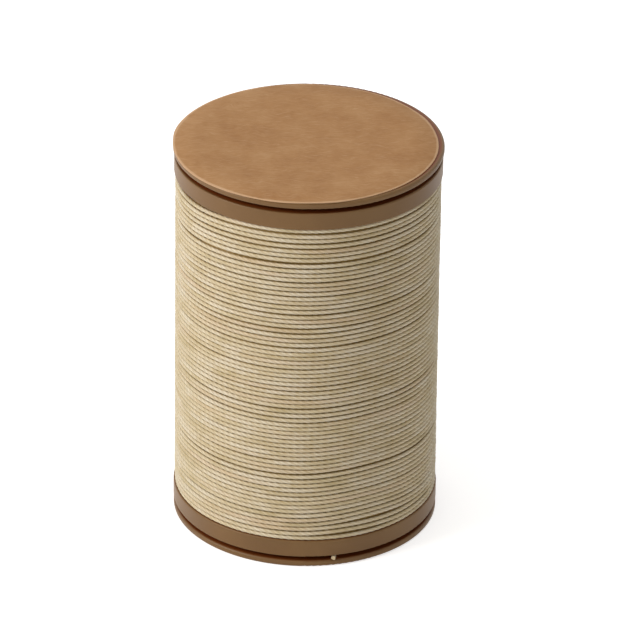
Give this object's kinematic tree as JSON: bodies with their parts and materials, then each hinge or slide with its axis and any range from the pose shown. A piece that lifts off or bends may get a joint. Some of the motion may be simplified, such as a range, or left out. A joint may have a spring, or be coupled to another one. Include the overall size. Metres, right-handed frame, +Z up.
{
  "type": "waxed thread spool",
  "caption": "Cylindrical plastic spool wound level with cream waxed thread, with snap caps at both ends that hold the thread's free end and a plain round card on top.",
  "frame": {"origin": "centre of the face that the spool stands on, on the winding axis, at the mouth of the lower cap's bore", "axes": "+Z up along the winding axis towards the card, -Y towards the side where the thread's cut end shows in the lower gap"},
  "size_m": [0.0322, 0.0326, 0.0489],
  "materials": {
    "brown_plastic": "satin moulded polypropylene",
    "waxed_thread": "twisted ramie with a wax coat",
    "plain_card": "matte unprinted kraft card"
  },
  "bodies": {
    "spool": {"core_tube": "brown_plastic", "lower_flange": "brown_plastic", "upper_flange": "brown_plastic", "thread_winding": "waxed_thread", "thread_tail": "waxed_thread"},
    "top_cap": {"upper_cap": "brown_plastic", "label_disc": "plain_card"},
    "base_cap": {"lower_cap": "brown_plastic"}
  },
  "joints": [
    {"name": "top_cap_snap", "type": "slide", "parent": "spool", "child": "top_cap", "axis": [0, 0, 1], "range_m": [0, 0.0012]},
    {"name": "base_cap_snap", "type": "slide", "parent": "spool", "child": "base_cap", "axis": [0, 0, -1], "range_m": [0, 0.0012]}
  ]
}
